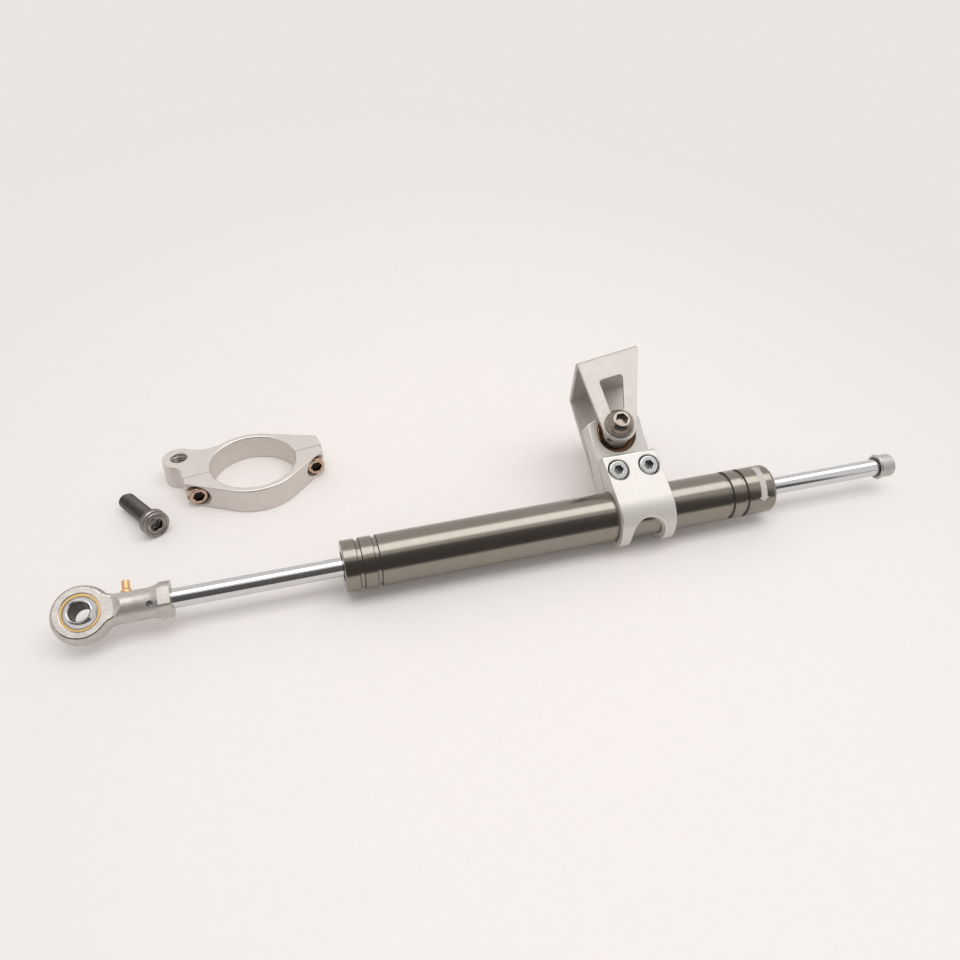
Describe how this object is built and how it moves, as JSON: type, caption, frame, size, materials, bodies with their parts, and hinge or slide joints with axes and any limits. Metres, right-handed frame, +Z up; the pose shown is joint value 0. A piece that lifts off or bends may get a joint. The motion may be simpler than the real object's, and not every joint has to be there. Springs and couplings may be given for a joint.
{
  "type": "motorcycle steering damper",
  "caption": "Linear hydraulic steering damper: through rod with spherical rod end and click adjuster, cylinder clamp with swivelling frame bracket, and a loose split fork clamp and bolt.",
  "frame": {"origin": "centre of the rod end's ball", "axes": "+X along the piston rod from the rod end to the adjuster, +Y away from the viewer of the picture, +Z up as the damper lies"},
  "size_m": [0.379, 0.1247, 0.063],
  "materials": {
    "anodised": "satin bronze-grey anodised",
    "chrome": "polished hard chrome",
    "knob_metal": "satin anodised",
    "nickel": "forged and nickel plated",
    "brass": "turned",
    "copper_brass": "turned",
    "clamp_silver": "fine blasted, clear anodised",
    "stainless": "satin",
    "ball_steel": "polished dark",
    "fork_silver": "bead blasted",
    "copper_plated": "coppery plated",
    "black_steel": "black oxide",
    "bearing_bronze": "sintered",
    "rubber": "nitrile",
    "guide_plastic": "filled fluoropolymer",
    "piston_metal": "turned",
    "spring_steel": "plain"
  },
  "bodies": {
    "damper_body": {"cylinder_tube": "anodised", "left_head": "anodised", "right_head": "anodised", "left_guide_bush": "bearing_bronze", "right_guide_bush": "bearing_bronze", "left_rod_seal": "rubber", "right_rod_seal": "rubber", "left_wiper": "rubber", "right_wiper": "rubber", "head_o_rings": "rubber", "clamp_front_half": "clamp_silver", "clamp_rear_half": "clamp_silver", "clamp_screws": "stainless", "swivel_race": "copper_brass"},
    "piston_guide": {"piston_band": "guide_plastic"},
    "rod": {"piston_rod": "chrome", "piston": "piston_metal", "piston_circlips": "spring_steel", "rod_end_housing": "nickel", "rod_end_liner": "brass", "grease_nipple": "copper_brass", "detent_spring": "spring_steel"},
    "detent": {"detent_ball": "chrome"},
    "eye_ball": {"rod_end_ball": "chrome"},
    "knob": {"adjuster_knob": "knob_metal"},
    "needle": {"adjuster_needle": "brass"},
    "pivot": {"swivel_ball": "ball_steel", "pivot_bolt": "stainless", "pivot_spacer": "stainless", "pivot_collar": "stainless", "pivot_nut": "stainless"},
    "bracket": {"frame_bracket": "stainless"},
    "fork_clamp": {"fork_clamp_ear_half": "fork_silver", "fork_clamp_cap_half": "fork_silver", "fork_clamp_bolts": "copper_plated"},
    "loose_bolt": {"mounting_bolt": "black_steel"}
  },
  "joints": [
    {"name": "rod_stroke", "type": "slide", "parent": "damper_body", "child": "piston_guide", "axis": [1, 0, 0], "range_m": [-0.0585, 0.068]},
    {"name": "rod_turn", "type": "hinge", "parent": "piston_guide", "child": "rod", "pos_m": [0.16, 0, 0], "axis": [1, 0, 0], "continuous": true},
    {"name": "detent_press", "type": "slide", "parent": "rod", "child": "detent", "axis": [0, 0, 1], "range_m": [-0.00015, 0], "stiffness_N_per_m": 300, "springref_m": 0.0003, "deforming": ["detent_spring"]},
    {"name": "eye_ball_turn", "type": "hinge", "parent": "rod", "child": "eye_ball", "pos_m": [0, 0, 0], "axis": [0, -0.5, 0.866], "continuous": true},
    {"name": "adjuster_turn", "type": "hinge", "parent": "rod", "child": "knob", "pos_m": [0.363, 0, 0], "axis": [1, 0, 0], "range_deg": [-360, 360]},
    {"name": "needle_feed", "type": "slide", "parent": "rod", "child": "needle", "axis": [1, 0, 0], "range_m": [-0.0005, 0.0005]},
    {"name": "swivel_tilt", "type": "hinge", "parent": "damper_body", "child": "pivot", "pos_m": [0.2354, 0.03204, 0.01999], "axis": [0, 0.7793, 0.6266], "range_deg": [-7, 13]},
    {"name": "bracket_turn", "type": "hinge", "parent": "pivot", "child": "bracket", "pos_m": [0.2354, 0.03204, 0.01999], "axis": [-0.0515, -0.4809, 0.8753], "range_deg": [-35, 35]},
    {"name": "fork_clamp_lift", "type": "slide", "parent": "damper_body", "child": "fork_clamp", "axis": [0, 0, 1], "range_m": [0, 0.05]},
    {"name": "loose_bolt_lift", "type": "slide", "parent": "damper_body", "child": "loose_bolt", "axis": [0, 0, 1], "range_m": [0, 0.05]}
  ],
  "couplings": [
    {"joint": "adjuster_turn", "follows": "needle_feed", "rad_per_m": 12566}
  ]
}
